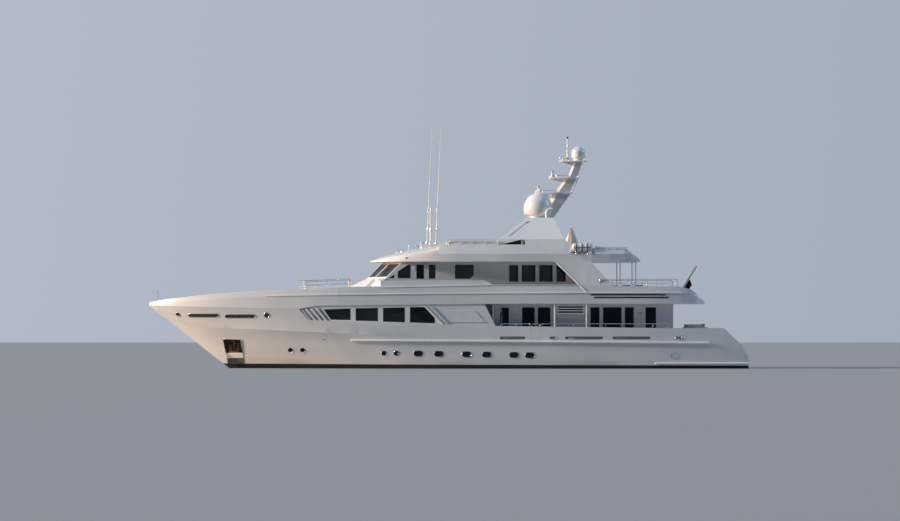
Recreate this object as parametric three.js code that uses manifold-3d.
// A 39 m motor yacht, afloat: round-bilge steel hull with a raked stem, bulb and twin
// screws, a full-beam forward main deck, an upper deck with the wheelhouse, and a sun deck
// under a radar arch and a raked mast.
// Millimetres. +X towards the bow, +Y to port, +Z up. The origin is on the waterline,
// on the centreline, halfway along the length overall.
import * as THREE from "three";
import { mergeVertices } from "three/addons/utils/BufferGeometryUtils.js";
import Module from "manifold-3d";

const wasm = await Module();
wasm.setup();

// Driving dimensions
const GAP = 0.3; // between pieces that rest on or against each other
const MAIN_DECK = 1850;
const UPPER_DECK = 4450;
const SUN_DECK = 7100;
const HULL_TOP = 4300; // the hull's surface is drawn up to here, then trimmed
const PLATE = 140; // bulwark thickness
const WALL = 100; // deckhouse wall thickness
const GLASS = 24;
const DECK_UNDERSIDE = 4150; // underside of the upper deck
const SALOON_HALF = 3050; // main deck house, half-width
const HOUSE_HALF = 2700; // upper deck house, half-width
const WELL_AFT = -17200;
const ROOF_UNDERSIDE = 6850;

// Colours, as on the real paint, teak, steel and glass
const PAINTS = {
  white: [0xe9e9e6, 0.25, 0],
  glass: [0x10151c, 0.08, 0],
  steel: [0xc4c6c8, 0.25, 1],
  bronze: [0xb08a4a, 0.35, 1],
  fabric: [0xe6dfcf, 0.9, 0],
  dark: [0x1b1c1f, 0.5, 0],
};

// Solids

// A closed three.js geometry as a solid.
function solid(geometry) {
  const bare = geometry.index ? geometry.toNonIndexed() : geometry.clone();
  const only = new THREE.BufferGeometry();
  only.setAttribute("position", bare.getAttribute("position"));
  const merged = mergeVertices(only, 1e-2);
  const made = new wasm.Manifold(
    new wasm.Mesh({
      numProp: 3,
      vertProperties: merged.attributes.position.array,
      triVerts: new Uint32Array(merged.index.array),
    }),
  );
  return made;
}

function geometryOf(shape) {
  const mesh = shape.getMesh();
  const count = mesh.vertProperties.length / mesh.numProp;
  const points = new Float32Array(count * 3);
  for (let i = 0; i < count; i++) {
    for (let k = 0; k < 3; k++) points[3 * i + k] = mesh.vertProperties[mesh.numProp * i + k];
  }
  const geometry = new THREE.BufferGeometry();
  geometry.setAttribute("position", new THREE.BufferAttribute(points, 3));
  geometry.setIndex(new THREE.BufferAttribute(new Uint32Array(mesh.triVerts), 1));
  return geometry;
}

const joined = (shapes) => shapes.reduce((a, b) => a.add(b));

// A box between two corners.
function box(x0, x1, y0, y1, z0, z1) {
  const geometry = new THREE.BoxGeometry(x1 - x0, y1 - y0, z1 - z0);
  geometry.translate((x0 + x1) / 2, (y0 + y1) / 2, (z0 + z1) / 2);
  return solid(geometry);
}

// A side profile, points of [x, z], as a prism from y0 to y1.
function sideProfile(points, y0, y1) {
  const shape = new THREE.Shape(points.map(([x, z]) => new THREE.Vector2(x, z)));
  const geometry = new THREE.ExtrudeGeometry(shape, { depth: y1 - y0, bevelEnabled: false });
  geometry.rotateX(Math.PI / 2);
  geometry.translate(0, y1, 0);
  return solid(geometry);
}

// A plan outline, points of [x, y], as a plate from z0 to z1.
function planProfile(points, z0, z1) {
  const shape = new THREE.Shape(points.map(([x, y]) => new THREE.Vector2(x, y)));
  const geometry = new THREE.ExtrudeGeometry(shape, { depth: z1 - z0, bevelEnabled: false });
  geometry.translate(0, 0, z0);
  return solid(geometry);
}

// A round bar between two points.
function bar(from, to, radius, sides = 8, endRadius = radius) {
  const a = new THREE.Vector3(...from);
  const b = new THREE.Vector3(...to);
  const geometry = new THREE.CylinderGeometry(endRadius, radius, a.distanceTo(b), sides);
  const turn = new THREE.Quaternion().setFromUnitVectors(
    new THREE.Vector3(0, 1, 0),
    b.clone().sub(a).normalize(),
  );
  geometry.applyQuaternion(turn);
  geometry.translate(...a.add(b).multiplyScalar(0.5).toArray());
  return solid(geometry);
}

// A turned piece about an upright axis at x, y; its profile is [radius, z], from axis to axis.
function turned(profile, x, y, sides = 20) {
  const points = profile.map(([r, z]) => new THREE.Vector2(r, z));
  const geometry = new THREE.LatheGeometry(points, sides);
  geometry.rotateX(Math.PI / 2);
  geometry.translate(x, y, 0);
  return solid(geometry);
}

// A smooth curve through table points of [input, output], with no overshoot.
function curve(table) {
  const n = table.length;
  const slope = [];
  for (let i = 0; i < n - 1; i++) {
    slope.push((table[i + 1][1] - table[i][1]) / (table[i + 1][0] - table[i][0]));
  }
  const tangent = table.map((_, i) => {
    if (i === 0) return slope[0];
    if (i === n - 1) return slope[n - 2];
    const product = slope[i - 1] * slope[i];
    return product <= 0 ? 0 : (2 * product) / (slope[i - 1] + slope[i]);
  });
  return (value) => {
    const v = Math.min(Math.max(value, table[0][0]), table[n - 1][0]);
    let i = 0;
    while (i < n - 2 && v > table[i + 1][0]) i++;
    const [x0, y0] = table[i];
    const [x1, y1] = table[i + 1];
    const h = x1 - x0;
    const t = (v - x0) / h;
    const startWeight = (1 + 2 * t) * (1 - t) ** 2;
    const endWeight = t * t * (3 - 2 * t);
    return (
      startWeight * y0 +
      t * (1 - t) ** 2 * h * tangent[i] +
      endWeight * y1 -
      t * t * (1 - t) * h * tangent[i + 1]
    );
  };
}

// A straight-line version of the same.
function polyline(table) {
  return (value) => {
    const last = table.length - 1;
    if (value <= table[0][0]) return table[0][1];
    if (value >= table[last][0]) return table[last][1];
    let i = 0;
    while (value > table[i + 1][0]) i++;
    const [x0, y0] = table[i];
    const [x1, y1] = table[i + 1];
    return y0 + ((y1 - y0) * (value - x0)) / (x1 - x0);
  };
}

// A closed skin over rings of points that have the same count.
function loft(rings) {
  const positions = [];
  const index = [];
  const count = rings[0].length;
  rings.forEach((ring) => ring.forEach((p) => positions.push(...p)));
  for (let i = 0; i < rings.length - 1; i++) {
    for (let j = 0; j < count; j++) {
      const a = i * count + j;
      const b = i * count + ((j + 1) % count);
      index.push(a, b, a + count, b, b + count, a + count);
    }
  }
  for (const [start, flip] of [
    [0, false],
    [(rings.length - 1) * count, true],
  ]) {
    for (let j = 1; j < count / 2; j++) {
      const quad = [start + j - 1, start + j, start + count - j - 1, start + count - j];
      const [a, b, c, d] = quad;
      if (flip) index.push(a, b, c, a, c, d);
      else index.push(a, c, b, a, d, c);
    }
  }
  const geometry = new THREE.BufferGeometry();
  geometry.setAttribute("position", new THREE.Float32BufferAttribute(positions, 3));
  geometry.setIndex(index);
  const made = solid(geometry);
  return made;
}

// The hull's lines

// Height of the surface to its X at the stem and at the transom.
const STEM = polyline([
  [-2400, 13300],
  [-300, 13900],
  [0, 14080],
  [1390, 15900],
  [2400, 17120],
  [3990, 19240],
  [4300, 19500],
]);
const TRANSOM = polyline([
  [-2400, -18900],
  [-450, -19150],
  [300, -19440],
  [1280, -19120],
  [1680, -18700],
  [2610, -17660],
  [4300, -16700],
]);

// Table of offsets. along: share of the length from transom to stem; keel: height of the
// keel; then half-breadths at the keel, at 0.8, 0.5 and 0.2 of the keel's depth, at the
// waterline, at the rubbing strake, at the knuckle and at the top.
const OFFSETS = [
  // along, keel, keelHalf, low, bilge, turn, water, rub, knuckle, top
  [0.0, -450, 2500, 2900, 3150, 3300, 3380, 3520, 3560, 3600],
  [0.08, -800, 1900, 2850, 3330, 3500, 3580, 3730, 3770, 3800],
  [0.2, -1400, 800, 2600, 3430, 3720, 3820, 3930, 3970, 4000],
  [0.35, -2200, 230, 1900, 3400, 3860, 3970, 4060, 4080, 4100],
  [0.5, -2400, 220, 1700, 3300, 3850, 3980, 4080, 4100, 4100],
  [0.62, -2400, 220, 1400, 2900, 3560, 3760, 3990, 4060, 4090],
  [0.74, -2400, 200, 950, 2100, 2800, 3080, 3570, 3760, 3900],
  [0.84, -2380, 170, 560, 1300, 1820, 2060, 2780, 3080, 3400],
  [0.92, -2320, 130, 300, 660, 950, 1120, 1760, 2080, 2500],
  [0.97, -2260, 100, 160, 280, 420, 500, 900, 1120, 1440],
  [1.0, -2200, 60, 60, 60, 60, 60, 80, 100, 130],
];
const COLUMN_SHARES = [1, 0.8, 0.5, 0.2, 0]; // shares of the keel's depth at the first columns
const column = (k) => curve(OFFSETS.map((row) => [row[0], row[k]]));
const keelHeight = column(1);
const halfBreadths = [2, 3, 4, 5, 6, 7, 8, 9].map(column);
const rubHeight = curve([
  [0, 1600],
  [0.6, 1780],
  [1, 1900],
]);
const knuckleHeight = curve([
  [0, 2080],
  [0.62, 2100],
  [0.68, 2250],
  [0.92, 2620],
  [1, 2750],
]);
const FLARE_HOLLOW = curve([
  // how far the bow's topside curves in between the knuckle and the top
  [0, 0],
  [0.7, 0],
  [0.88, 55],
  [0.97, 40],
  [1, 0],
]);
const SIDE_SHARES = [1, 0.93, 0.84, 0.72, 0.58, 0.44, 0.3, 0.16]; // levels under water
const TOPSIDE_SHARES = [0.3, 0.65];

// Half-breadth of the section at a share of the length, at a height.
function sectionHalf(along, z) {
  const half = halfBreadths.map((value) => value(along));
  const rub = rubHeight(along);
  const knuckle = knuckleHeight(along);
  if (z <= rub) {
    const points = COLUMN_SHARES.map((share, k) => [share * keelHeight(along), half[k]]);
    return curve([...points, [rub, half[5]]])(z);
  }
  if (z <= knuckle) return half[5] + ((half[6] - half[5]) * (z - rub)) / (knuckle - rub);
  const t = Math.min((z - knuckle) / (HULL_TOP - knuckle), 1);
  return half[6] + (half[7] - half[6]) * t - FLARE_HOLLOW(along) * 4 * t * (1 - t);
}

function levelsAt(along) {
  const rub = rubHeight(along);
  const knuckle = knuckleHeight(along);
  return [
    ...SIDE_SHARES.map((share) => share * keelHeight(along)),
    0,
    rub * 0.5,
    rub,
    knuckle,
    ...TOPSIDE_SHARES.map((share) => knuckle + share * (HULL_TOP - knuckle)),
    HULL_TOP,
  ];
}

// Half-breadth of the hull's surface at a place along it and a height.
function hullHalf(x, z) {
  const along = Math.min(Math.max((x - TRANSOM(z)) / (STEM(z) - TRANSOM(z)), 0), 1);
  return sectionHalf(along, z);
}

const STATIONS = [0, 0.02, 0.045, 0.075, 0.11, 0.15, 0.19, 0.24, 0.29, 0.34, 0.39, 0.44, 0.49, 0.535,
  0.575, 0.61, 0.645, 0.68, 0.71, 0.74, 0.77, 0.8, 0.825, 0.85, 0.873, 0.895, 0.915, 0.935, 0.952,
  0.967, 0.98, 0.991, 1];

// The hull's whole form, drawn in by an inset.
function hullForm(inset = 0) {
  const rings = STATIONS.map((along) => {
    const side = levelsAt(along).map((z) => {
      const x = TRANSOM(z) + along * (STEM(z) - TRANSOM(z));
      return [x, Math.max(sectionHalf(along, z) - inset, 12), z];
    });
    const other = side.map(([x, y, z]) => [x, -y, z]).reverse();
    return [...side, ...other];
  });
  return loft(rings);
}

// The top edge of the hull, from the stern to the bow, and the underside of the upper band.
const LEDGE = [
  [-19600, 2600],
  [-14400, 2590],
  [-3100, 2730],
  [7600, 3060],
  [8850, 3120],
  [9460, 3800],
  [14100, 3910],
  [19600, 4030],
];
const BAND_UNDERSIDE = [
  [-16600, DECK_UNDERSIDE],
  [-3000, DECK_UNDERSIDE],
  [8300, 4020],
  [9460, 3800],
  [14100, 3910],
  [19600, 4030],
];

const trimAbove = (line, raise, halfWidth = 6000, top = 9000) =>
  sideProfile(
    [
      ...line.map(([x, z]) => [x, z + raise]),
      [line[line.length - 1][0], top],
      [line[0][0], top],
    ],
    -halfWidth,
    halfWidth,
  );

const form = hullForm();
const innerForm = hullForm(PLATE);
// A span across the boat on one side, from an inner to an outer distance off the centreline.
const onSide = (sign, inner, outer) => (sign > 0 ? [inner, outer] : [-outer, -inner]);

const group = new THREE.Group();

function add(name, shape, paint) {
  const [color, roughness, metalness] = PAINTS[paint];
  const material = new THREE.MeshStandardMaterial({ color, roughness, metalness });
  const mesh = new THREE.Mesh(geometryOf(shape), material);
  mesh.name = name;
  group.add(mesh);
}

// Hull

const SHAFT_HALF = 1750; // shafts off the centreline
const SHAFT_R = 60;
const PROP = [-15900, -1560]; // x, z of each propeller's centre
const SHAFT_TOP = [-11200, -1180];
const STRUT = [-15450, -15080]; // x of the shaft strut's barrel
const STRUT_BARREL = 140;
const RUDDER_X = -17150;
const STOCK_R = 70;
const STOCK_TOP = -200;
const FIN = [1200, 3330, -1270]; // root of the port stabiliser fin, on the bilge
const FIN_DROP = 0.95; // its shaft's angle below level, in radians
const FIN_SHAFT = 400; // length of the shaft inside the hull
const GATE = [-5980, -5330]; // boarding gate in each bulwark
const GATE_GAP = 8;
const PLATFORM_TOP = 450;
const TRANSOM_WALL = -18350;
const STAIR = { inner: 1850, outer: 2650, steps: 7, tread: 270, rise: 200 };
const LAZARETTE = { half: 1300, fore: -16400, low: 480, high: 1640 };
const FOREDECK_STEP = [8700, 10400]; // the raised deck's front stands over this
const FOREDECK = { level: 3250, fore: 18500 };

// The anchor's pocket in the bow, as a side profile, and the distance in from the skin.
const POCKET = [
  [14450, 1880],
  [13300, 1850],
  [13080, 330],
  [14180, 300],
];
const POCKET_INNER = 700;

function shaftLine(sign, radius, from = SHAFT_TOP, sides = 16) {
  const y = sign * SHAFT_HALF;
  return bar([from[0], y, from[1]], [PROP[0], y, PROP[1]], radius, sides);
}

const finAxis = [0, Math.cos(FIN_DROP), -Math.sin(FIN_DROP)];
const alongFin = (distance) => FIN.map((value, k) => value + finAxis[k] * distance);

function hull() {
  let body = form.subtract(trimAbove(LEDGE, 0));
  const bulb = new THREE.SphereGeometry(1, 20, 12);
  bulb.scale(2300, 520, 640);
  bulb.translate(13350, 0, -1560);
  body = body.add(solid(bulb));
  const step = hullForm(PLATE + 200).intersect(
    box(...FOREDECK_STEP, -6000, 6000, 2600, DECK_UNDERSIDE - GAP),
  );
  body = body.add(step);
  for (const sign of [1, -1]) {
    const y = sign * SHAFT_HALF;
    const at = (x) => PROP[1] + ((x - PROP[0]) * (SHAFT_TOP[1] - PROP[1])) / (SHAFT_TOP[0] - PROP[0]);
    body = body.add(bar([STRUT[0], y, at(STRUT[0])], [STRUT[1], y, at(STRUT[1])], STRUT_BARREL, 16));
    for (const foot of [-520, 430]) {
      const corners = [];
      for (const x of [STRUT[0] + 60, STRUT[1] - 60]) {
        for (const offset of [-22, 22]) {
          corners.push([x, y + offset + Math.sign(foot) * 60, at(x) + 40], [x + 90, y + foot + offset, -420]);
        }
      }
      body = body.add(wasm.Manifold.hull(corners));
    }
  }
  const cuts = [
    // The well of the main deck, inside the bulwarks, where the deckhouse stands.
    innerForm.intersect(box(WELL_AFT, FOREDECK_STEP[0], -6000, 6000, MAIN_DECK, 6000)),
    // The mooring deck in the bow, inside its bulwarks.
    innerForm.intersect(box(FOREDECK_STEP[1], FOREDECK.fore, -6000, 6000, FOREDECK.level, 6000)),
    box(-19700, TRANSOM_WALL, -2750, 2750, PLATFORM_TOP, 3000),
    box(TRANSOM_WALL - 50, LAZARETTE.fore, -LAZARETTE.half, LAZARETTE.half, LAZARETTE.low, LAZARETTE.high),
    bar([9600, -3500, -1300], [9600, 3500, -1300], 330, 16), // bow thruster tunnel
  ];
  for (const sign of [1, -1]) {
    const stairs = onSide(sign, STAIR.inner, STAIR.outer);
    for (let k = 0; k < STAIR.steps; k++) {
      const front = TRANSOM_WALL + STAIR.tread * k + 60;
      cuts.push(box(TRANSOM_WALL - 10, front, ...stairs, PLATFORM_TOP + STAIR.rise * (k + 1), 3000));
    }
    cuts.push(box(TRANSOM_WALL - 10, WELL_AFT + 10, ...stairs, MAIN_DECK, 3000));
    cuts.push(box(...GATE, ...onSide(sign, 3300, 5000), MAIN_DECK, 3200));
    cuts.push(sideProfile(POCKET, ...onSide(sign, POCKET_INNER, 3000)));
    cuts.push(shaftLine(sign, SHAFT_R + 30));
    const stockY = sign * SHAFT_HALF;
    cuts.push(bar([RUDDER_X, stockY, -1400], [RUDDER_X, stockY, STOCK_TOP], STOCK_R + 25, 16));
    const [x, y, z] = alongFin(-FIN_SHAFT);
    const [ex, ey, ez] = alongFin(400);
    cuts.push(bar([x, sign * y, z], [ex, sign * ey, ez], STOCK_R + 25, 16));
  }
  return body.subtract(joined(cuts));
}
add("hull", hull(), "white");

// Upper band: the bow bulwark, the side bulwarks of the upper deck and its aft coaming

const BAND_KNUCKLE = curve([
  [-16600, 4200],
  [-15900, 4700],
  [-15000, 4860],
  [-3400, 4830],
  [1900, 4800],
  [8200, 4720],
  [11600, 4640],
  [17000, 4280],
  [19600, 4050],
]);
const BAND_TOP = curve([
  [-16600, 4240],
  [-16500, 4330],
  [-15700, 5010],
  [-15100, 5250],
  [-10500, 5300],
  [-9000, 5370],
  [-3400, 5370],
  [6500, 5220],
  [9150, 5090],
  [11600, 4990],
  [14100, 4860],
  [17000, 4570],
  [19060, 4300],
  [19600, 4080],
]);
const AFT_ROUNDING = curve([
  [-16560, 2300],
  [-16400, 2950],
  [-16000, 3350],
  [-15200, 3640],
  [-12500, 3900],
  [-9000, 4150],
]);
const bandLow = polyline(BAND_UNDERSIDE);
const deckHalf = (x) => Math.min(hullHalf(x, bandLow(x)), AFT_ROUNDING(x));
const BAND_STATIONS = [-16560, -16400, -16000, -15600, -15000, -13500, -11500, -9000, -6000, -3000, 0,
  3000, 5500, 7000, 8300, 9460, 10700, 11900, 13000, 14100, 15100, 16000, 16800, 17500, 18100, 18600,
  18900, 19100, 19220, 19290];
const BAND_FLARE = 25;

// The whole band drawn in by an inset, between two heights given as offsets.
function bandForm(inset, below, above, stations = BAND_STATIONS) {
  return loft(
    stations.map((x) => {
      const half = Math.max(deckHalf(x) - inset, 15);
      const lean = Math.min(BAND_FLARE, half / 3);
      const side = [
        [x, half, bandLow(x) - below],
        [x, half + lean, BAND_KNUCKLE(x)],
        [x, Math.max(half - lean, 10), BAND_TOP(x) + above],
      ];
      return [...side, ...side.map(([px, y, z]) => [px, -y, z]).reverse()];
    }),
  );
}
const bandInside = bandForm(PLATE, 60, 60, BAND_STATIONS.filter((x) => x > -16100 && x < 18950));
const band = bandForm(0, -GAP, 0).subtract(bandInside);
const BOW_SPLIT = 6900;
add("bow_bulwark", band.intersect(box(BOW_SPLIT + GAP, 20000, -6000, 6000, 3000, 6000)), "white");

// Corners of an outline drawn in by a distance; the outline turns anticlockwise.
function inset(points, distance) {
  const n = points.length;
  const edges = points.map(([x, y], i) => {
    const [nx, ny] = points[(i + 1) % n];
    const length = Math.hypot(nx - x, ny - y);
    const normal = [-(ny - y) / length, (nx - x) / length];
    return [x + normal[0] * distance, y + normal[1] * distance, nx - x, ny - y];
  });
  return points.map((_, i) => {
    const [ax, ay, adx, ady] = edges[(i + n - 1) % n];
    const [bx, by, bdx, bdy] = edges[i];
    const t = ((bx - ax) * bdy - (by - ay) * bdx) / (adx * bdy - ady * bdx);
    return [ax + adx * t, ay + ady * t];
  });
}

// A body whose outline changes between heights: levels of [z, outline].
const stacked = (levels) => loft(levels.map(([z, outline]) => outline.map(([x, y]) => [x, y, z])));

const HOUSE_AFT = -8600;
const HOUSE_FLOOR = UPPER_DECK + GAP;
const SILL = 5790; // foot of the windscreen
const HOUSE_TOP = ROOF_UNDERSIDE - GAP;
const RAKE = 1060; // how far the windscreen leans aft over its height
// Half outlines of the front, from its corner to the centreline side: [x, y].
const FRONT_LOW = [[3950, HOUSE_HALF], [6200, 2450], [7900, 1100]];
const FRONT_SILL = [[3950, HOUSE_HALF], [4700, 1850], [5180, 700]];
const frontOutline = (half, aft, shift = 0) => [
  ...half.map(([x, y]) => [x + shift, -y]),
  ...[...half].reverse().map(([x, y]) => [x + shift, y]),
  [aft, HOUSE_HALF],
  [aft, -HOUSE_HALF],
];
const raked = (distance, low, high, aft) => {
  const at = (z) => inset(frontOutline(FRONT_SILL, aft, (-RAKE * (z - SILL)) / (HOUSE_TOP - SILL)), distance);
  return stacked([[low, at(low)], [high, at(high)]]);
};
const brow = (distance, low, high) => {
  const half = (z) => FRONT_SILL.map(([x, y], k) => {
    const share = (z - UPPER_DECK) / (SILL - UPPER_DECK);
    return [FRONT_LOW[k][0] + (x - FRONT_LOW[k][0]) * share, FRONT_LOW[k][1] + (y - FRONT_LOW[k][1]) * share];
  });
  return stacked([[low, inset(frontOutline(half(low), 2500), distance)],
    [high, inset(frontOutline(half(high), 2500), distance)]]);
};

// Each side's upper bulwark runs round to the centreline at the stern and carries the
// raised coaming beside the wheelhouse.
const WING_COAMING = [
  [4250, 5000],
  [4250, 5650],
  [-2400, 5650],
  [-2900, 5380],
  [-2900, 5000],
];
const raisedBand = bandForm(30, -GAP, 900).subtract(bandForm(PLATE - 20, 60, 1000));
// The rounded shoulder that joins the raised coaming to the front of the wheelhouse.
const SHOULDER = [
  // height, then the corners of the half outline, [x, y], from the house to the skin
  [UPPER_DECK + GAP, [[4980, 2200], [4930, 2800], [4800, 3250], [4560, 3640], [4330, 3900], [3990, 4100]]],
  [5200, [[4980, 2200], [4930, 2800], [4800, 3250], [4560, 3640], [4330, 3900], [3990, 4100]]],
  [5500, [[4780, 2200], [4730, 2800], [4610, 3200], [4420, 3560], [4230, 3840], [3990, 4100]]],
  [5650, [[4600, 2200], [4550, 2800], [4440, 3200], [4300, 3500], [4160, 3800], [3990, 4100]]],
  [5770, [[4400, 2200], [4360, 2750], [4280, 3000], [3990, 3200]]],
];
const frontSolid = wasm.Manifold.hull([brow(-2 * GAP, UPPER_DECK - 50, SILL + 50)]);
const bandSolid = bandForm(30, -GAP, 900);
const shoulderOn = (sign) => {
  const corners = SHOULDER.flatMap(([z, outline]) =>
    [...outline, [3990, 2200]].map(([x, y]) => [x, sign * y, z]),
  );
  return wasm.Manifold.hull(corners).intersect(bandSolid).subtract(frontSolid);
};
for (const [side, sign] of [["port", 1], ["starboard", -1]]) {
  const coaming = raisedBand.intersect(sideProfile(WING_COAMING, ...onSide(sign, 1000, 6000)));
  const bulwark = band
    .add(coaming)
    .add(shoulderOn(sign))
    .intersect(box(-17000, BOW_SPLIT, ...onSide(sign, GAP / 2, 6000), 3000, 6000));
  add(`${side}_upper_bulwark`, bulwark, "white");
}

const upperDeck = bandForm(PLATE + GAP, 60, 60, BAND_STATIONS.filter((x) => x > -16100 && x < 18950))
  .intersect(box(-16000 + GAP, FOREDECK_STEP[1], -6000, 6000, DECK_UNDERSIDE, UPPER_DECK));
add("upper_deck", upperDeck, "white");

// Main deck: full-beam windows forward, the saloon house aft

const OUTER_INSET = 60; // the window wall lies this far inside the bulwark's skin
const WINDOWS_FORWARD = [
  // corners of each opening, [x, z]
  [[7890, 3790], [6160, 3850], [6160, 3110], [7410, 3130]],
  [[5840, 3860], [4410, 3890], [4410, 3030], [5840, 3070]],
  [[4090, 3890], [2690, 3920], [2690, 2960], [4090, 3000]],
  [[2370, 3930], [1430, 3940], [770, 3230], [770, 2900], [2370, 2950]],
];
const WINDOW_WALL = [
  [-3100, 2730 + GAP],
  [7600, 3060 + GAP],
  [8840, 3120 + GAP],
  [9330, 3780],
  [8300, bandLow(8300) - 3],
  [-2400, bandLow(-2400) - 3],
];
const windowWallSkin = hullForm(OUTER_INSET).subtract(hullForm(OUTER_INSET + WALL));
const windowGlassSkin = hullForm(OUTER_INSET + WALL + GAP).subtract(hullForm(OUTER_INSET + WALL + GLASS));
const WINDOW_GLASS = [[600, 2830], [8050, 3075], [8250, 3900], [600, 4010]];
for (const [side, sign] of [["port", 1], ["starboard", -1]]) {
  const reach = onSide(sign, 1500, 6000);
  let wall = windowWallSkin.intersect(sideProfile(WINDOW_WALL, ...reach));
  for (const corners of WINDOWS_FORWARD) wall = wall.subtract(sideProfile(corners, ...reach));
  add(`${side}_cabin_wall`, wall, "white");
  add(`${side}_cabin_glass`, windowGlassSkin.intersect(sideProfile(WINDOW_GLASS, ...reach)), "glass");
}

const HINGE = { radius: 12, strap: 90, height: 120 };
// Two hinges on the outer face of a leaf, their straps crossing to a pin beyond its fore edge.
function hinges(sign, x, face, low, high) {
  const { radius, strap, height } = HINGE;
  return joined([low + 250, high - 250 - height].flatMap((z) => [
    box(x - strap, x - DOOR_GAP - 2, ...onSide(sign, face - 10, face + 2 * radius), z, z + height),
    box(x - DOOR_GAP - 4, x + radius, ...onSide(sign, face + GAP, face + GAP + 2 * radius), z, z + height),
    bar(
      [x + radius, sign * (face + GAP + radius), z],
      [x + radius, sign * (face + GAP + radius), z + height],
      radius,
      12,
    ),
  ]));
}

const SALOON = [-14400, -3000]; // the saloon house, aft to fore
const SALOON_DOOR = [-4120, -3400]; // side doors
const DOOR_HEAD = 3990;
const DOOR_GAP = 6;
const houseTop = DECK_UNDERSIDE - GAP;
const SALOON_WINDOWS = [[-5620, -4810], [-6630, -5820], [-9770, -9200], [-11190, -10000],
  [-11970, -11400], [-13400, -12730]];
for (const [side, sign] of [["port", 1], ["starboard", -1]]) {
  const wallSpan = onSide(sign, SALOON_HALF - WALL, SALOON_HALF);
  const cutSpan = onSide(sign, 2000, 4000);
  let wall = box(SALOON[0], SALOON[1] - GAP, ...wallSpan, MAIN_DECK + GAP, houseTop);
  for (const [x0, x1] of SALOON_WINDOWS) wall = wall.subtract(box(x0, x1, ...cutSpan, 2250, 3930));
  wall = wall.subtract(box(SALOON_DOOR[0], SALOON_DOOR[1], ...cutSpan, MAIN_DECK + 60, DOOR_HEAD));
  add(`${side}_saloon_wall`, wall, "white");
  const glassSpan = onSide(sign, SALOON_HALF - WALL - GLASS - GAP, SALOON_HALF - WALL - GAP);
  add(`${side}_saloon_glass`, box(-13500, -4700, ...glassSpan, 2200, 3980), "glass");
  // Side door, hinged at its forward edge, with a tall pane.
  const leafSpan = onSide(sign, SALOON_HALF - 60, SALOON_HALF);
  const leafEnds = [SALOON_DOOR[0] + DOOR_GAP, SALOON_DOOR[1] - DOOR_GAP];
  const door = box(...leafEnds, ...leafSpan, MAIN_DECK + 66, DOOR_HEAD - DOOR_GAP)
    .subtract(box(-3960, -3530, ...onSide(sign, SALOON_HALF - 16, 4000), 2250, 3900))
    .subtract(box(-3960, -3530, ...onSide(sign, 2000, SALOON_HALF - 44), 2250, 3900));
  const pins = hinges(sign, SALOON_DOOR[1], SALOON_HALF, MAIN_DECK, DOOR_HEAD);
  add(`${side}_side_door`, door.add(pins), "white");
}
// Bulkhead across the boat at the forward end of the side decks, with a passage inside.
const bulkhead = hullForm(PLATE + GAP)
  .intersect(box(SALOON[1], SALOON[1] + WALL, -3940, 3940, MAIN_DECK + GAP, 2700))
  .add(box(SALOON[1], SALOON[1] + WALL, -3850, 3850, 2600, houseTop))
  .subtract(box(SALOON[1] - 50, SALOON[1] + 200, -450, 450, MAIN_DECK - 50, 3950));
add("main_cross_bulkhead", bulkhead, "white");
const aftWallEnds = [SALOON[0] - WALL - GAP, SALOON[0] - GAP];
const aftWall = box(...aftWallEnds, -SALOON_HALF, SALOON_HALF, MAIN_DECK + GAP, houseTop)
  .subtract(box(SALOON[0] - 300, SALOON[0] + 100, -900, 900, MAIN_DECK + 60, 3940))
  .add(box(SALOON[0] - WALL - 80, SALOON[0] - WALL, -1860, 1860, 3980, 4050));
add("saloon_aft_wall", aftWall, "white");
for (const [side, sign] of [["port", 1], ["starboard", -1]]) {
  const x0 = SALOON[0] - WALL - 6;
  add(`${side}_sliding_door`, box(x0 - 50, x0, ...onSide(sign, 4, 930), MAIN_DECK + 20, 3980 - GAP), "glass");
}

// Boarding gates in the bulwarks, hinged inside at their aft edge

const GATE_PINS = [MAIN_DECK + 90, 2520]; // feet of the two hinges
// Inner face of the bulwark at the lower hinge, where it comes closest to the pin.
const GATE_FACE = innerForm
  .intersect(box(GATE[0] - 2 * HINGE.radius, GATE[0] + 1, 0, 6000, GATE_PINS[0], GATE_PINS[0] + 5))
  .boundingBox().max[1];
for (const [side, sign] of [["port", 1], ["starboard", -1]]) {
  const gate = form
    .subtract(innerForm)
    .subtract(trimAbove(LEDGE, -2))
    .intersect(
      box(GATE[0] + GATE_GAP, GATE[1] - GATE_GAP, ...onSide(sign, 3300, 5000), MAIN_DECK + GATE_GAP, 3200),
    );
  const { radius, strap, height } = HINGE;
  const pins = GATE_PINS.flatMap((z) => {
    const y = GATE_FACE - GAP - radius;
    return [
      box(
        GATE[0] + GATE_GAP + 2,
        GATE[0] + strap,
        ...onSide(sign, y - radius, GATE_FACE + 40),
        z,
        z + height,
      ),
      box(GATE[0] - radius, GATE[0] + GATE_GAP + 4, ...onSide(sign, y - radius, y + radius), z, z + height),
      bar([GATE[0] - radius, sign * y, z], [GATE[0] - radius, sign * y, z + height], radius, 12),
    ];
  });
  add(`${side}_boarding_gate`, joined([gate, ...pins]), "white");
}

// Upper deck: the wheelhouse and the saloon house under one roof

// The raised front of the house below the windscreen, hollow and open to the wheelhouse.
const browShell = brow(0, HOUSE_FLOOR, SILL - GAP)
  .subtract(brow(90, HOUSE_FLOOR - 50, SILL + 50))
  .intersect(box(3950 + GAP, 9000, -4000, 4000, 4000, 6000));

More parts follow.
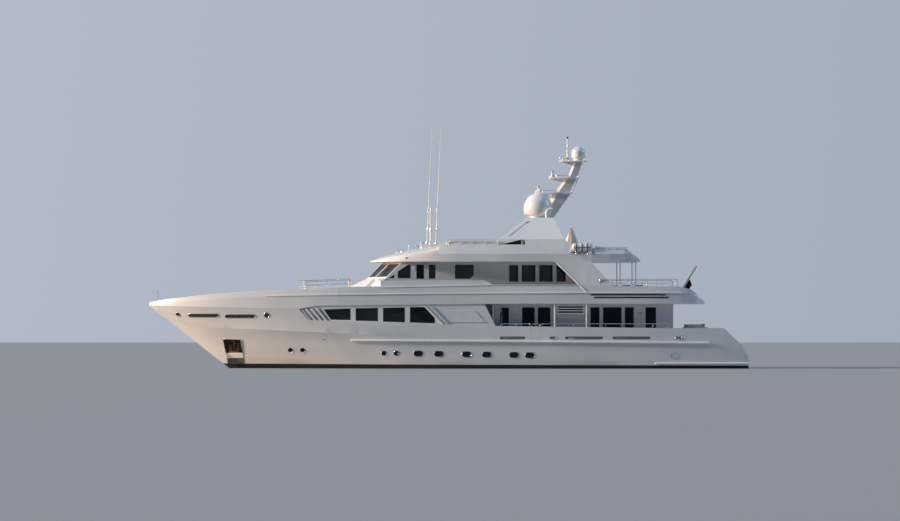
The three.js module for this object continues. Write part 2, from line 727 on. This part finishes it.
// A window opening through a raked face: corners on the face, drawn in and deepened.
function through(corners, margin, depth = 400) {
  const points = corners.map((c) => new THREE.Vector3(...c));
  const middle = points.reduce((a, b) => a.clone().add(b)).multiplyScalar(1 / points.length);
  const normal = points[1].clone().sub(points[0]).cross(points[3].clone().sub(points[0])).normalize();
  const shrunk = points.map((p) => {
    const away = p.clone().sub(middle);
    return middle.clone().add(away.multiplyScalar(1 - margin / away.length()));
  });
  const ends = [depth, -depth].flatMap((d) => shrunk.map((p) => p.clone().addScaledVector(normal, d)));
  return wasm.Manifold.hull(ends.map((p) => p.toArray()));
}

const A_PILLAR = [
  [3950, SILL - 2],
  [5400, SILL - 2],
  [5400, HOUSE_TOP],
  [2760, HOUSE_TOP],
];
let screenFrame = raked(0, SILL - 2, HOUSE_TOP, -HOUSE_HALF)
  .subtract(raked(WALL, SILL - 50, HOUSE_TOP + 50, -HOUSE_HALF))
  .intersect(sideProfile(A_PILLAR, -4000, 4000));
const screenRow = [...FRONT_SILL.map(([x, y]) => [x, -y]), ...[...FRONT_SILL].reverse()];
const SCREEN_LOW = 5850;
const SCREEN_HIGH = 6780;
const lean = (z) => (-RAKE * (z - SILL)) / (HOUSE_TOP - SILL);
for (let k = 0; k < screenRow.length - 1; k++) {
  const [ax, ay] = screenRow[k];
  const [bx, by] = screenRow[k + 1];
  const corners = [
    [ax + lean(SCREEN_LOW), ay, SCREEN_LOW],
    [bx + lean(SCREEN_LOW), by, SCREEN_LOW],
    [bx + lean(SCREEN_HIGH), by, SCREEN_HIGH],
    [ax + lean(SCREEN_HIGH), ay, SCREEN_HIGH],
  ];
  screenFrame = screenFrame.subtract(through(corners, 65));
}
add("house_front", screenFrame.add(browShell), "white");
const SCREEN_SIDE = [
  // x, z of the windscreen's glass, from the side
  [4060, SILL + 20],
  [5400, SILL + 20],
  [5400, HOUSE_TOP - 20],
  [3040, HOUSE_TOP - 20],
];
const screenGlass = raked(WALL + GAP, SILL + 20, HOUSE_TOP - 20, -HOUSE_HALF)
  .subtract(raked(WALL + GAP + GLASS, SILL - 50, HOUSE_TOP + 50, -HOUSE_HALF))
  .intersect(sideProfile(SCREEN_SIDE, -4000, 4000));
add("windscreen_glass", screenGlass, "glass");

const WING_DOOR = { aft: 1330, fore: 2150, low: 4510, high: 6740 };
const HOUSE_WINDOWS = [
  // corners of each opening, [x, z]
  [[3780, 5790], [3380, 5790], [3380, 6030]],
  [[3160, 5790], [2330, 5790], [2330, 6650], [2500, 6650], [3160, 6230]],
  [[1170, 5770], [740, 5770], [740, 6660], [1170, 6660]],
  [[-510, 5760], [-1480, 5760], [-1700, 5980], [-1700, 6660], [-510, 6660]],
  [[-3980, 5570], [-4560, 5570], [-4560, 6640], [-3980, 6640]],
  [[-4790, 5570], [-5670, 5570], [-5670, 6640], [-4790, 6640]],
  [[-5910, 5570], [-6780, 5570], [-6780, 6640], [-5910, 6640]],
  [[-7020, 5570], [-7610, 5570], [-7610, 6150], [-7020, 6640]],
];
const SIDE_WALL = [
  [HOUSE_AFT, HOUSE_FLOOR],
  [3950, HOUSE_FLOOR],
  [3950, SILL - 2.6],
  [2760 - 0.6, HOUSE_TOP],
  [HOUSE_AFT, HOUSE_TOP],
];
const HOUSE_GLASS = [
  [-7750, 5500],
  [-3850, 5500],
  [-3600, 5700],
  [3800, 5700],
  [3800, 5790],
  [2640, 6820],
  [-7750, 6820],
];
const DOOR_PANE = [[1960, 5770], [1500, 5770], [1500, 6660], [1960, 6660]];
for (const [side, sign] of [["port", 1], ["starboard", -1]]) {
  const cutSpan = onSide(sign, 2000, 4000);
  let wall = sideProfile(SIDE_WALL, ...onSide(sign, HOUSE_HALF - WALL, HOUSE_HALF));
  for (const corners of HOUSE_WINDOWS) wall = wall.subtract(sideProfile(corners, ...cutSpan));
  wall = wall.subtract(box(WING_DOOR.aft, WING_DOOR.fore, ...cutSpan, WING_DOOR.low, WING_DOOR.high));
  add(`${side}_house_wall`, wall, "white");
  const glassSpan = onSide(sign, HOUSE_HALF - WALL - GLASS - GAP, HOUSE_HALF - WALL - GAP);
  const glassFace = HOUSE_HALF - WALL - GAP;
  const glass = sideProfile(HOUSE_GLASS, ...onSide(sign, glassFace - GLASS, glassFace))
    .subtract(box(WING_DOOR.aft - 60, WING_DOOR.fore + 60, ...cutSpan, 4000, WING_DOOR.high + 10));
  add(`${side}_house_glass`, glass, "glass");
  const leafSpan = onSide(sign, HOUSE_HALF - 60, HOUSE_HALF);
  const leafEnds = [WING_DOOR.aft + DOOR_GAP, WING_DOOR.fore - DOOR_GAP];
  const door = box(...leafEnds, ...leafSpan, WING_DOOR.low + DOOR_GAP, WING_DOOR.high - DOOR_GAP)
    .subtract(sideProfile(DOOR_PANE, ...onSide(sign, HOUSE_HALF - 16, 4000)))
    .subtract(sideProfile(DOOR_PANE, ...onSide(sign, 2000, HOUSE_HALF - 44)));
  const pins = hinges(sign, WING_DOOR.fore, HOUSE_HALF, WING_DOOR.low, WING_DOOR.high);
  add(`${side}_wing_door`, door.add(pins), "white");
}
const upperAftEnds = [HOUSE_AFT - WALL - GAP, HOUSE_AFT - GAP];
const upperAftWall = box(...upperAftEnds, -HOUSE_HALF, HOUSE_HALF, HOUSE_FLOOR, HOUSE_TOP)
  .subtract(box(HOUSE_AFT - 300, HOUSE_AFT + 100, -900, 900, UPPER_DECK + 60, 6600));
add("upper_aft_wall", upperAftWall, "white");
add(
  "upper_saloon_doors",
  box(HOUSE_AFT, HOUSE_AFT + 30, -960, 960, UPPER_DECK + 20, 6640),
  "glass",
);


// Roof and sun deck

const sunHalf = curve([
  [-12420, 2500],
  [-12200, 3050],
  [-11500, 3420],
  [-9000, 3640],
  [-3000, 3660],
  [500, 3480],
  [2400, 3080],
  [3600, 2560],
  [4500, 1760],
  [4960, 1050],
]);
const SUN_TOP = polyline([
  [-12420, 6990],
  [-11400, 7720],
  [-9300, 7840],
  [-7900, 7980],
  [-7500, 8290],
  [-3400, 8290],
  [-700, 8330],
  [-30, 8250],
  [790, 7870],
]);
const ROOF_CROWN = curve([
  [400, 7930],
  [790, 7870],
  [1900, 7730],
  [3000, 7500],
  [3770, 7330],
  [4500, 7080],
  [4960, 6930],
]);
const ROOF_JOINT = 500; // x where the roof meets the sun deck's coaming
const ROOF_STATIONS = [ROOF_JOINT, 1200, 1900, 2600, 3200, 3770, 4250, 4650, 4960];
const SUN_STATIONS = [
  -12420, -12200, -11800, -11400, -10400, -9300, -7900, -7500, -5500, -3400, -700, -30, ROOF_JOINT,
];
const MOULDING = 7360;

// Height up to which the roof's side stands upright: high where it meets the sun deck's coaming.
const ROOF_SHOULDER = curve([
  [ROOF_JOINT, 7330],
  [1900, 7160],
  [3200, 6950],
  [3770, 6910],
  [4960, 6910],
]);

// The roof over the wheelhouse, a shell open to the room below.
function roofForm(inset) {
  return loft(
    ROOF_STATIONS.map((x) => {
      const half = sunHalf(x) - inset;
      const top = ROOF_CROWN(x) - inset;
      const shoulder = Math.min(ROOF_SHOULDER(x), top - 10);
      const side = [
        [x, half, ROOF_UNDERSIDE - (inset ? 50 : 0)],
        [x, half, shoulder],
        [x, half - 130, shoulder + 0.5 * (top - shoulder)],
        [x, half * 0.72, shoulder + 0.84 * (top - shoulder)],
        [x, half * 0.3, top],
      ];
      return [...side, ...side.map(([px, y, z]) => [px, -y, z]).reverse()];
    }),
  );
}
const roofRoom = roofForm(110).intersect(box(ROOF_JOINT + 110, 4500, -6000, 6000, 6000, 9000));
const roof = roofForm(0).subtract(roofRoom);
add("wheelhouse_roof", roof, "white");

const COAMING_LEAN = 0.3; // how far the coaming leans in above its moulding, for its height

// The sun deck's coaming, from its raised front round both sides to the stern.
function sunForm(inset, extra) {
  return loft(
    SUN_STATIONS.map((x) => {
      const half = sunHalf(x) - inset;
      const top = SUN_TOP(x) + extra;
      const side = [
        [x, half, ROOF_UNDERSIDE - extra],
        [x, half, Math.min(MOULDING, top - 60)],
        [x, half - 70 - COAMING_LEAN * Math.max(top - MOULDING, 0), top],
      ];
      return [...side, ...side.map(([px, y, z]) => [px, -y, z]).reverse()];
    }),
  );
}
const SUN_INNER = [-12300, 150];
const RAFT = { fore: -7850, aft: -9450, seat: 7340, half: 3420, radius: 290 };
const SUN_SLOT = [[-5020, 7950], [-3420, 7950], [-4700, 8250], [-4960, 8250]]; // opening below the arch
const WING = [
  // side panel down to the upper bulwark: x of each corner, and whether it is at the top
  [-6900, true],
  [-9200, true],
  [-10700, false],
  [-8620, false],
];
const sunBand = sunForm(0, 0)
  .subtract(sunForm(120, 90).intersect(box(...SUN_INNER, -6000, 6000, 6000, 9000)))
  .subtract(box(ROOF_JOINT - GAP, 900, -6000, 6000, 6000, 9000))
  .subtract(box(RAFT.aft, RAFT.fore, -6000, 6000, RAFT.seat, 9000));
const sunDeck = sunForm(120 + GAP, 90)
  .intersect(box(SUN_INNER[0] + GAP, SUN_INNER[1] - GAP, -6000, 6000, ROOF_UNDERSIDE, SUN_DECK));
add("sun_deck", sunDeck, "white");
const wingTop = ROOF_UNDERSIDE + 10; // the wing panel runs a little into the coaming
for (const [side, sign] of [["port", 1], ["starboard", -1]]) {
  const corners = [];
  for (const [x, top] of WING) {
    const outer = top ? sunHalf(x) : deckHalf(x) - 30;
    const z = top ? wingTop : 5200;
    corners.push([x, sign * outer, z], [x, sign * (outer - 90), z]);
  }
  const wing = wasm.Manifold.hull(corners).subtract(bandForm(-300, 60, GAP));
  let coaming = sunBand.add(wing).subtract(sideProfile(SUN_SLOT, ...onSide(sign, 2000, 5000)));
  coaming = coaming.intersect(box(-13000, 900, ...onSide(sign, GAP / 2, 6000), 5000, 9000));
  add(`${side}_sun_coaming`, coaming, "white");
}

// Radar arch on the sun deck's coamings, and the mast that stands on it

const ARCH_TOP = 9700;
const ARCH_BASE = 8240;
const ARCH_LEG = [
  // x at the foot and at the top, on the outside
  [-3300, -5110],
  [-7520, -6900],
];
const ARCH_FEET = { outer: 3290, inner: 3170 };
const ARCH_SHOULDER = { outer: 2250, inner: 2130, low: 9560 };
const ARCH_SLOT = [[-3950, 8480], [-5150, 9430], [-5330, 9430], [-4180, 8480]];
const archBody = [];
for (const sign of [1, -1]) {
  const corners = [];
  for (const [foot, top] of ARCH_LEG) {
    for (const y of [ARCH_FEET.inner, ARCH_FEET.outer]) corners.push([foot, sign * y, ARCH_BASE]);
    for (const y of [ARCH_SHOULDER.inner, ARCH_SHOULDER.outer]) corners.push([top, sign * y, ARCH_TOP]);
  }
  archBody.push(wasm.Manifold.hull(corners).subtract(sideProfile(ARCH_SLOT, ...onSide(sign, 1500, 4000))));
}
archBody.push(box(-6900, -5110, -2200, 2200, ARCH_SHOULDER.low, ARCH_TOP));
const coamingTop = sunForm(-400, GAP).subtract(box(-12000, 0, -1500, 1500, 6000, 9000));
add("radar_arch", joined(archBody).subtract(coamingTop), "white");

const MAST = [
  // z, x of its fore edge, x of its aft edge, half-width
  [ARCH_TOP + GAP, -6350, -6880, 420],
  [11280, -6750, -8020, 330],
  [12280, -7520, -8420, 260],
  [13400, -8150, -8800, 200],
];
const PLATFORMS = [
  // fore x, aft x, half-width, z of the underside, thickness
  [-5650, -8120, 520, 11280, 70],
  [-6550, -8520, 420, 12260, 70],
  [-7250, -9020, 620, 13360, 70],
];
const mastRings = MAST.map(([z, fore, aft, half]) => [
  z,
  [[fore, -half * 0.5], [fore, half * 0.5], [aft, half], [aft, -half]],
]);
const UPPER_DOME = [
  // radius, z
  [0, 13300],
  [330, 13300],
  [330, 13460],
  [440, 13560],
  [440, 13950],
  [390, 14160],
  [240, 14310],
  [0, 14360],
];
const mastParts = [
  stacked(mastRings),
  turned(UPPER_DOME, -8500, 0),
  bar([-7800, 0, 13380], [-7800, 0, 15000], 45),
  bar([-7350, 0, 13380], [-7350, 0, 13560], 30),
  turned([[0, 13540], [110, 13570], [120, 13660], [70, 13740], [0, 13770]], -7350, 0, 12),
];
for (const [fore, aft, half, low, thickness] of PLATFORMS) {
  mastParts.push(planProfile(
    [
      [fore, -half * 0.45],
      [fore, half * 0.45],
      [fore - 500, half],
      [aft, half],
      [aft, -half],
      [fore - 500, -half],
    ],
    low, low + thickness));
}
const SCANNERS = [
  // name, x, underside of its turning gear, length of the bar
  ["lower", -5930, 11610, 1800],
  ["upper", -6830, 12590, 1300],
];
for (const [, x, low] of SCANNERS) {
  const deck = PLATFORMS[x === -5930 ? 0 : 1];
  const foot = deck[3] + 20;
  mastParts.push(turned([[0, foot], [150, foot], [135, low - GAP], [0, low - GAP]], x, 0, 16));
}
add("mast", joined(mastParts), "white");
for (const [name, x, low, length] of SCANNERS) {
  const scanner = turned([[0, low], [90, low], [80, low + 120], [0, low + 120]], x, 0, 16)
    .add(box(x - 70, x + 70, -length / 2, length / 2, low + 110, low + 220));
  add(`${name}_radar_scanner`, scanner, "white");
}
const SATCOM = [
  // radius, height over the foot
  [0, 0],
  [520, 0],
  [520, 90],
  [640, 160],
  [860, 420],
  [900, 760],
  [840, 1080],
  [640, 1360],
  [330, 1540],
  [0, 1600],
];
for (const [side, sign] of [["port", 1], ["starboard", -1]]) {
  const profile = SATCOM.map(([r, z]) => [r, ARCH_TOP + GAP + z]);
  add(`${side}_satellite_dome`, turned(profile, -5880, sign * 1150, 24), "white");
}

// Life rafts on the roof edge, antennas and the loud hailer forward

for (const [side, sign] of [["port", 1], ["starboard", -1]]) {
  const y = sign * RAFT.half;
  const raft = [bar([RAFT.fore - 130, y, 7760], [RAFT.aft + 130, y, 7760], RAFT.radius, 16)];
  for (const x of [RAFT.fore - 400, RAFT.aft + 400]) {
    raft.push(box(x - 60, x + 60, y - 240, y + 240, RAFT.seat + GAP, 7700));
  }
  add(`${side}_life_raft`, joined(raft), "white");
}
const AERIALS = [
  // foot x, foot z, head x, head z, foot radius, head radius
  [1310, 7700, 970, 15400, 38, 12],
  [720, 7760, 390, 15700, 38, 12],
  [1070, 7720, 1060, 10400, 60, 45],
];
const aerialBase = box(500 + GAP, 1800, -160, 160, 7700, 8020);
const aerials = [aerialBase.subtract(roofForm(-GAP))];
AERIALS.forEach(([x, z, headX, headZ, r, headR], k) => {
  const y = [-90, 90, 0][k];
  aerials.push(bar([x, y, z + 200], [headX, y, headZ], r, 8, headR));
});
add("aerials", joined(aerials), "white");

// Underwater gear

const SHAFT_SLOPE = Math.atan2(SHAFT_TOP[1] - PROP[1], SHAFT_TOP[0] - PROP[0]);
const SHAFT_LENGTH = Math.hypot(SHAFT_TOP[0] - PROP[0], SHAFT_TOP[1] - PROP[1]);
const HUB_LENGTH = 420;
const BLADES = 4;
function propeller(sign) {
  const hub = bar([-HUB_LENGTH / 2 - 60, 0, 0], [HUB_LENGTH / 2, 0, 0], 95, 16, 120);
  const shaft = bar([0, 0, 0], [SHAFT_LENGTH - GAP, 0, 0], SHAFT_R, 16);
  const parts = [hub, shaft];
  for (let k = 0; k < BLADES; k++) {
    const blade = solid(new THREE.SphereGeometry(1, 12, 8))
      .scale([26, 210, 290])
      .rotate([0, 0, sign * 32])
      .translate([0, 0, 345]);
    parts.push(blade.rotate([(k * 360) / BLADES, 0, 0]));
  }
  return joined(parts)
    .rotate([0, (-SHAFT_SLOPE * 180) / Math.PI, 0])
    .translate([PROP[0], sign * SHAFT_HALF, PROP[1]]);
}
const RUDDER_SECTION = [
  // x, y of the blade, nose first
  [-16700, 0],
  [-16850, 70],
  [-17150, 90],
  [-17700, 12],
  [-17700, -12],
  [-17150, -90],
  [-16850, -70],
];
const RUDDER = [[-16760, -1000], [-17620, -1000], [-17700, -2150], [-16900, -2150]];
for (const [side, sign] of [["port", 1], ["starboard", -1]]) {
  add(`${side}_propeller`, propeller(sign), "bronze");
  const y = sign * SHAFT_HALF;
  const blade = planProfile(RUDDER_SECTION, -2200, -900)
    .translate([0, y, 0])
    .intersect(sideProfile(RUDDER, -4000, 4000));
  const stock = bar([RUDDER_X, y, -1100], [RUDDER_X, y, STOCK_TOP - GAP], STOCK_R, 16);
  add(`${side}_rudder`, blade.add(stock), "steel");
  // Stabiliser fin on its own shaft, square to the bilge.
  const root = alongFin(60);
  const tip = alongFin(1000);
  const point = (base, x, t) => [
    base[0] + x,
    sign * (base[1] + t * Math.sin(FIN_DROP)),
    base[2] + t * Math.cos(FIN_DROP),
  ];
  const section = (base, chord, thick) => [
    point(base, chord * 0.5, 0),
    point(base, chord * 0.2, thick),
    point(base, -chord * 0.5, 0),
    point(base, chord * 0.2, -thick),
  ];
  const fin = wasm.Manifold.hull([...section(root, 1300, 75), ...section(tip, 900, 40)]);
  const inner = alongFin(-FIN_SHAFT + GAP);
  const outer = alongFin(300);
  const onThisSide = ([x, y, z]) => [x, sign * y, z];
  const shaft = bar(onThisSide(inner), onThisSide(outer), STOCK_R, 16);
  add(`${side}_stabiliser_fin`, fin.add(shaft), "steel");
}

// Anchors in their pockets, furniture and the transom door

for (const [side, sign] of [["port", 1], ["starboard", -1]]) {
  const y = POCKET_INNER + GAP;
  const anchor = [
    box(13430, 14070, ...onSide(sign, y, y + 170), 640, 790),
    box(13690, 13810, ...onSide(sign, y, y + 90), 700, 1700),
  ];
  for (const x of [13430, 13930]) {
    anchor.push(box(x, x + 140, ...onSide(sign, y, y + 60), 700, 1180));
  }
  add(`${side}_anchor`, joined(anchor), "steel");
}
const SOFA = { aft: -16800, fore: -15350, half: 1760, seat: 2250, back: 2650 };
const sofa = joined([
  box(SOFA.aft, SOFA.aft + 850, -SOFA.half, SOFA.half, MAIN_DECK + GAP, SOFA.seat),
  box(SOFA.aft, SOFA.aft + 220, -SOFA.half, SOFA.half, MAIN_DECK + GAP, SOFA.back),
  box(SOFA.aft, SOFA.fore, SOFA.half - 700, SOFA.half, MAIN_DECK + GAP, SOFA.seat),
  box(SOFA.aft, SOFA.fore, -SOFA.half, 700 - SOFA.half, MAIN_DECK + GAP, SOFA.seat),
  box(SOFA.aft, SOFA.fore, SOFA.half - 160, SOFA.half, MAIN_DECK + GAP, SOFA.back),
  box(SOFA.aft, SOFA.fore, -SOFA.half, 160 - SOFA.half, MAIN_DECK + GAP, SOFA.back),
]);
add("aft_deck_sofa", sofa, "fabric");
const CONSOLE = [[3300, HOUSE_FLOOR], [4050, HOUSE_FLOOR], [4250, 5480], [4050, 5600], [3300, 5360]];
add("helm_console", sideProfile(CONSOLE, -1350, 1350), "dark");

const TRANSOM_DOOR = { face: TRANSOM_WALL + 5, thick: 50, gap: 8, pin: 15 };
const transomDoor = (() => {
  const { face, thick, gap, pin } = TRANSOM_DOOR;
  const { half, low, high } = LAZARETTE;
  const leaf = box(face, face + thick, gap - half, half - gap, low + gap, high - gap);
  const axis = [face + pin, high - gap - thick];
  return leaf.add(bar([axis[0], GAP - half, axis[1]], [axis[0], half - GAP, axis[1]], pin, 12));
})();
add("transom_door", transomDoor, "white");

export default group;
